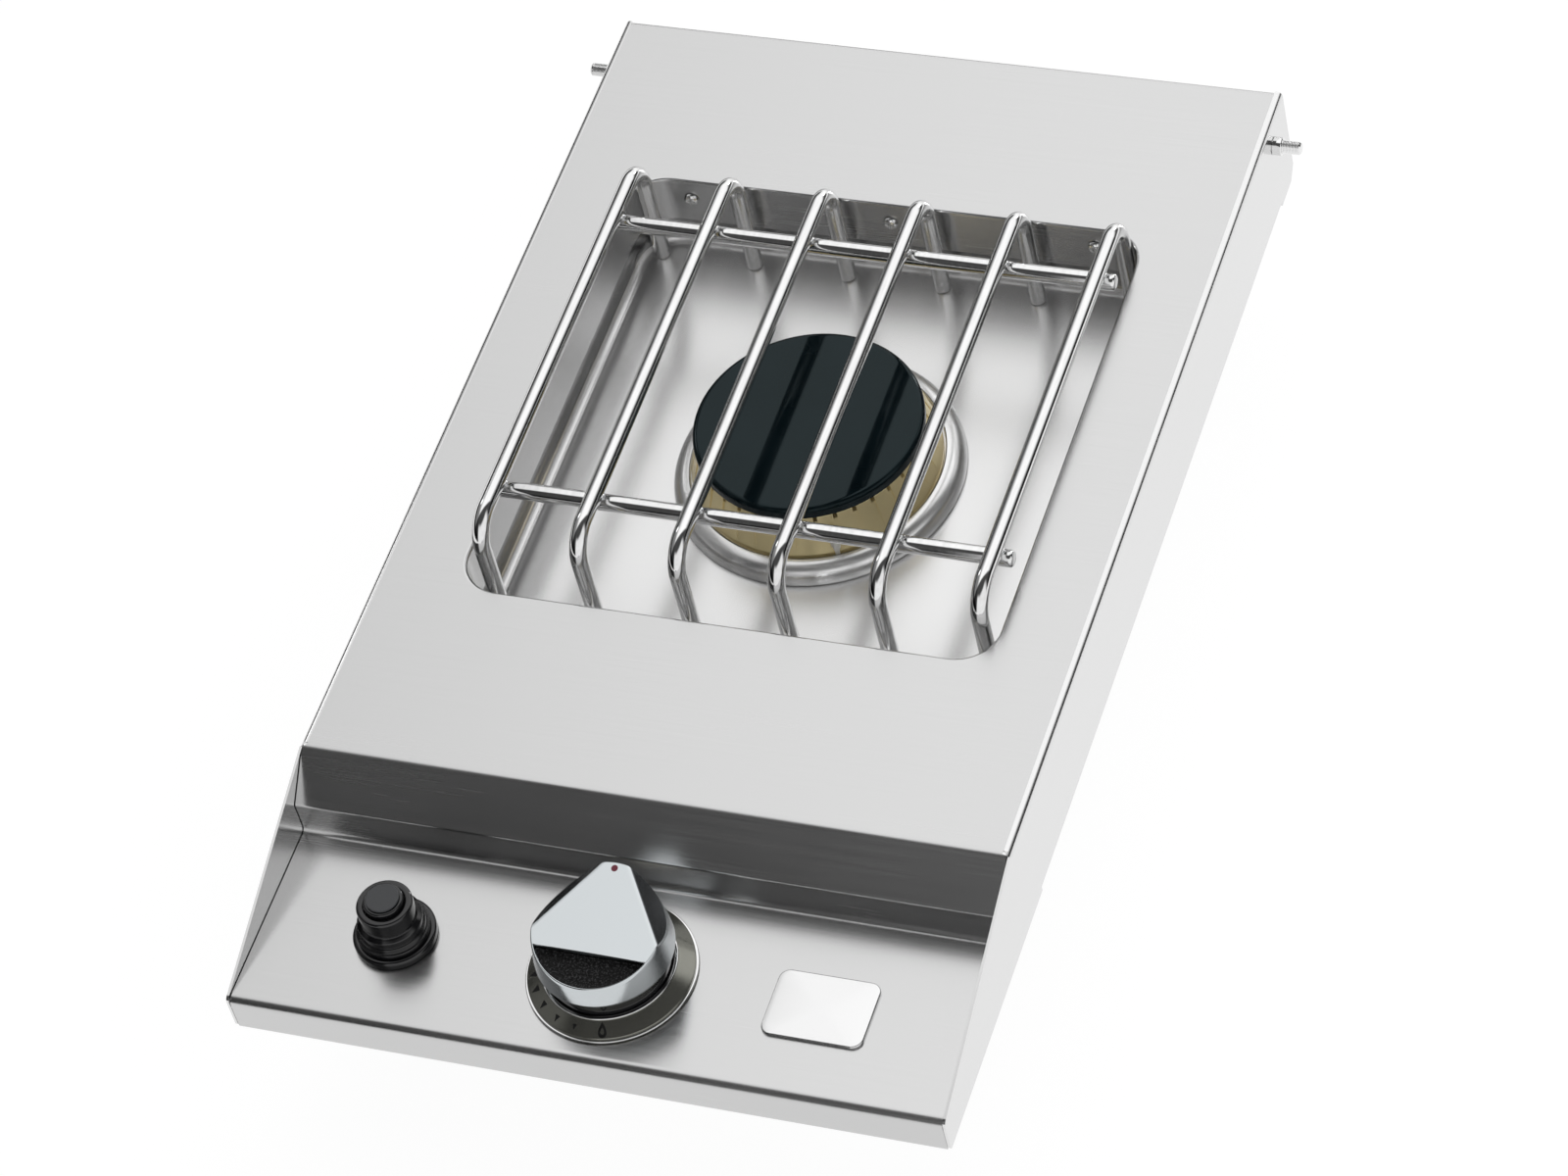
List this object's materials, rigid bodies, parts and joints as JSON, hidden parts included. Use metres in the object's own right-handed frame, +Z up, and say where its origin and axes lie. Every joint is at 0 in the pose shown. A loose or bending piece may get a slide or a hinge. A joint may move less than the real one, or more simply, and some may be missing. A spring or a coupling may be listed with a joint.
{
  "type": "built-in side burner",
  "caption": "Drop-in gas side burner: folded stainless top with a sunken well, round-bar grate, capped brass burner, gas valve with knob and push-button igniter.",
  "frame": {"origin": "middle of the bottom of the bounding box, under the middle of the top", "axes": "+X to the right of someone who faces the controls, +Y to the back, +Z up"},
  "size_m": [0.3564, 0.575, 0.1408],
  "materials": {
    "stainless": "brushed stainless sheet, grain across the deck",
    "polished_rod": "polished stainless rod",
    "knob_metal": "satin plated casting",
    "bezel_metal": "satin disc with a bright rolled rim",
    "burner_brass": "turned brass, satin",
    "cast_alloy": "raw die-cast alloy",
    "black_enamel": "gloss black enamel with a blue cast",
    "black_plastic": "gloss black moulding",
    "grip_rubber": "black textured insert",
    "button_grey": "grey satin disc",
    "electrode_ceramic": "white glazed ceramic",
    "lead_rubber": "black silicone",
    "zinc_steel": "zinc plated steel",
    "cell_wrap": "plain wrapped cell"
  },
  "bodies": {
    "chassis": {"top_shell": "stainless", "drip_pan": "stainless", "burner_collar": "stainless", "venturi_bracket": "stainless", "supply_pipe": "stainless", "gas_inlet_bracket": "stainless", "locating_stud_left": "stainless", "locating_stud_right": "stainless", "igniter_spring": "stainless", "pan_screw_1": "zinc_steel", "pan_screw_2": "zinc_steel", "pan_screw_3": "zinc_steel", "stud_nut_left": "zinc_steel", "stud_nut_right": "zinc_steel", "burner_screw_1": "zinc_steel", "burner_screw_2": "zinc_steel", "burner_screw_3": "zinc_steel", "electrode_wire": "zinc_steel", "electrode_clip": "zinc_steel", "valve_bonnet": "zinc_steel", "valve_screw_left": "zinc_steel", "valve_screw_right": "zinc_steel", "igniter_lock_nut": "zinc_steel", "inlet_screw_left": "zinc_steel", "inlet_screw_right": "zinc_steel", "burner_head": "burner_brass", "orifice": "burner_brass", "valve_inlet_nut": "burner_brass", "gas_inlet_fitting": "burner_brass", "gas_inlet_nut": "burner_brass", "mixer_bowl": "cast_alloy", "venturi_tube": "cast_alloy", "valve_body": "cast_alloy", "knob_bezel": "bezel_metal", "igniter_housing": "black_plastic", "igniter_bezel": "black_plastic", "igniter_cap": "black_plastic", "igniter_battery": "cell_wrap", "electrode_insulator": "electrode_ceramic", "electrode_boot": "lead_rubber", "igniter_boot": "lead_rubber", "ignition_lead": "lead_rubber"},
    "grate": {"grate_bar_1": "polished_rod", "grate_bar_2": "polished_rod", "grate_bar_3": "polished_rod", "grate_bar_4": "polished_rod", "grate_bar_5": "polished_rod", "grate_bar_6": "polished_rod", "grate_cross_rod_front": "polished_rod", "grate_cross_rod_rear": "polished_rod"},
    "burner_cap": {"burner_cap": "black_enamel"},
    "valve_plug": {"valve_plug": "burner_brass", "valve_spring": "stainless"},
    "knob": {"knob": "knob_metal", "knob_grip": "grip_rubber", "valve_stem": "zinc_steel"},
    "igniter_button": {"igniter_button": "black_plastic", "igniter_button_face": "button_grey"},
    "air_shutter": {"air_shutter": "zinc_steel"}
  },
  "joints": [
    {"name": "grate_lift", "type": "slide", "parent": "chassis", "child": "grate", "axis": [0, 0, 1], "range_m": [0, 0.08]},
    {"name": "cap_lift", "type": "slide", "parent": "chassis", "child": "burner_cap", "axis": [0, 0, 1], "range_m": [0, 0.02]},
    {"name": "knob_turn", "type": "hinge", "parent": "chassis", "child": "valve_plug", "pos_m": [0, -0.2405, 0.08138], "axis": [0, 0, 1], "range_deg": [0, 180]},
    {"name": "knob_press", "type": "slide", "parent": "valve_plug", "child": "knob", "axis": [0, 0, -1], "range_m": [0, 0.003], "stiffness_N_per_m": 1500, "springref_m": -0.002, "deforming": ["valve_spring"]},
    {"name": "igniter_press", "type": "slide", "parent": "chassis", "child": "igniter_button", "axis": [0, 0, -1], "range_m": [0, 0.0025], "stiffness_N_per_m": 1200, "springref_m": -0.002, "deforming": ["igniter_spring"]},
    {"name": "shutter_turn", "type": "hinge", "parent": "chassis", "child": "air_shutter", "pos_m": [0, -0.1932, 0.05078], "axis": [0, 1, 0], "range_deg": [-35, 35]}
  ]
}
